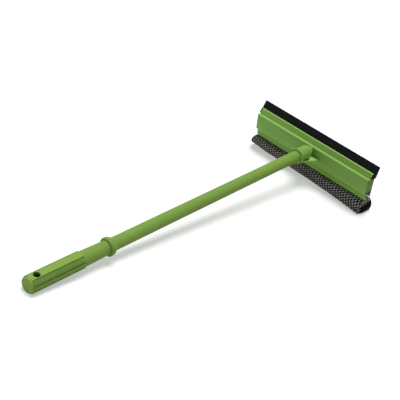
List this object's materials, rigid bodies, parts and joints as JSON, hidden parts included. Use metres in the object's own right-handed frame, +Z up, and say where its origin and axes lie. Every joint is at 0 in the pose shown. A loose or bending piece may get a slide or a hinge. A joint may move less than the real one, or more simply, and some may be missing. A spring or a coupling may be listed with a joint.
{
  "type": "squeegee",
  "caption": "Hand squeegee: a moulded head with a rubber blade above and a netted foam scrubber below, on a long round handle with a collar, a fluted grip and a hang hole.",
  "frame": {"origin": "on the ground under the middle of the tool's length and width, with the tool lying on its scrubber and on the end plug's lower edge", "axes": "+Z up; +Y along the tool from the end of the handle to the head; X along the head, side to side"},
  "size_m": [0.2052, 0.549, 0.0788],
  "materials": {
    "green_plastic": "satin, as moulded",
    "blade_rubber": "smooth, slightly sheened",
    "black_plastic": "satin",
    "black_foam": "open-cell foam, stated as fabric",
    "grey_netting": "diamond net of thin plastic strands"
  },
  "bodies": {
    "root": {"head_moulding": "green_plastic", "rubber_blade": "blade_rubber", "sponge_strip": "black_plastic", "sponge_core": "black_foam", "netting_sleeve": "grey_netting", "shaft": "green_plastic", "grip": "green_plastic", "end_plug": "green_plastic"}
  },
  "joints": []
}
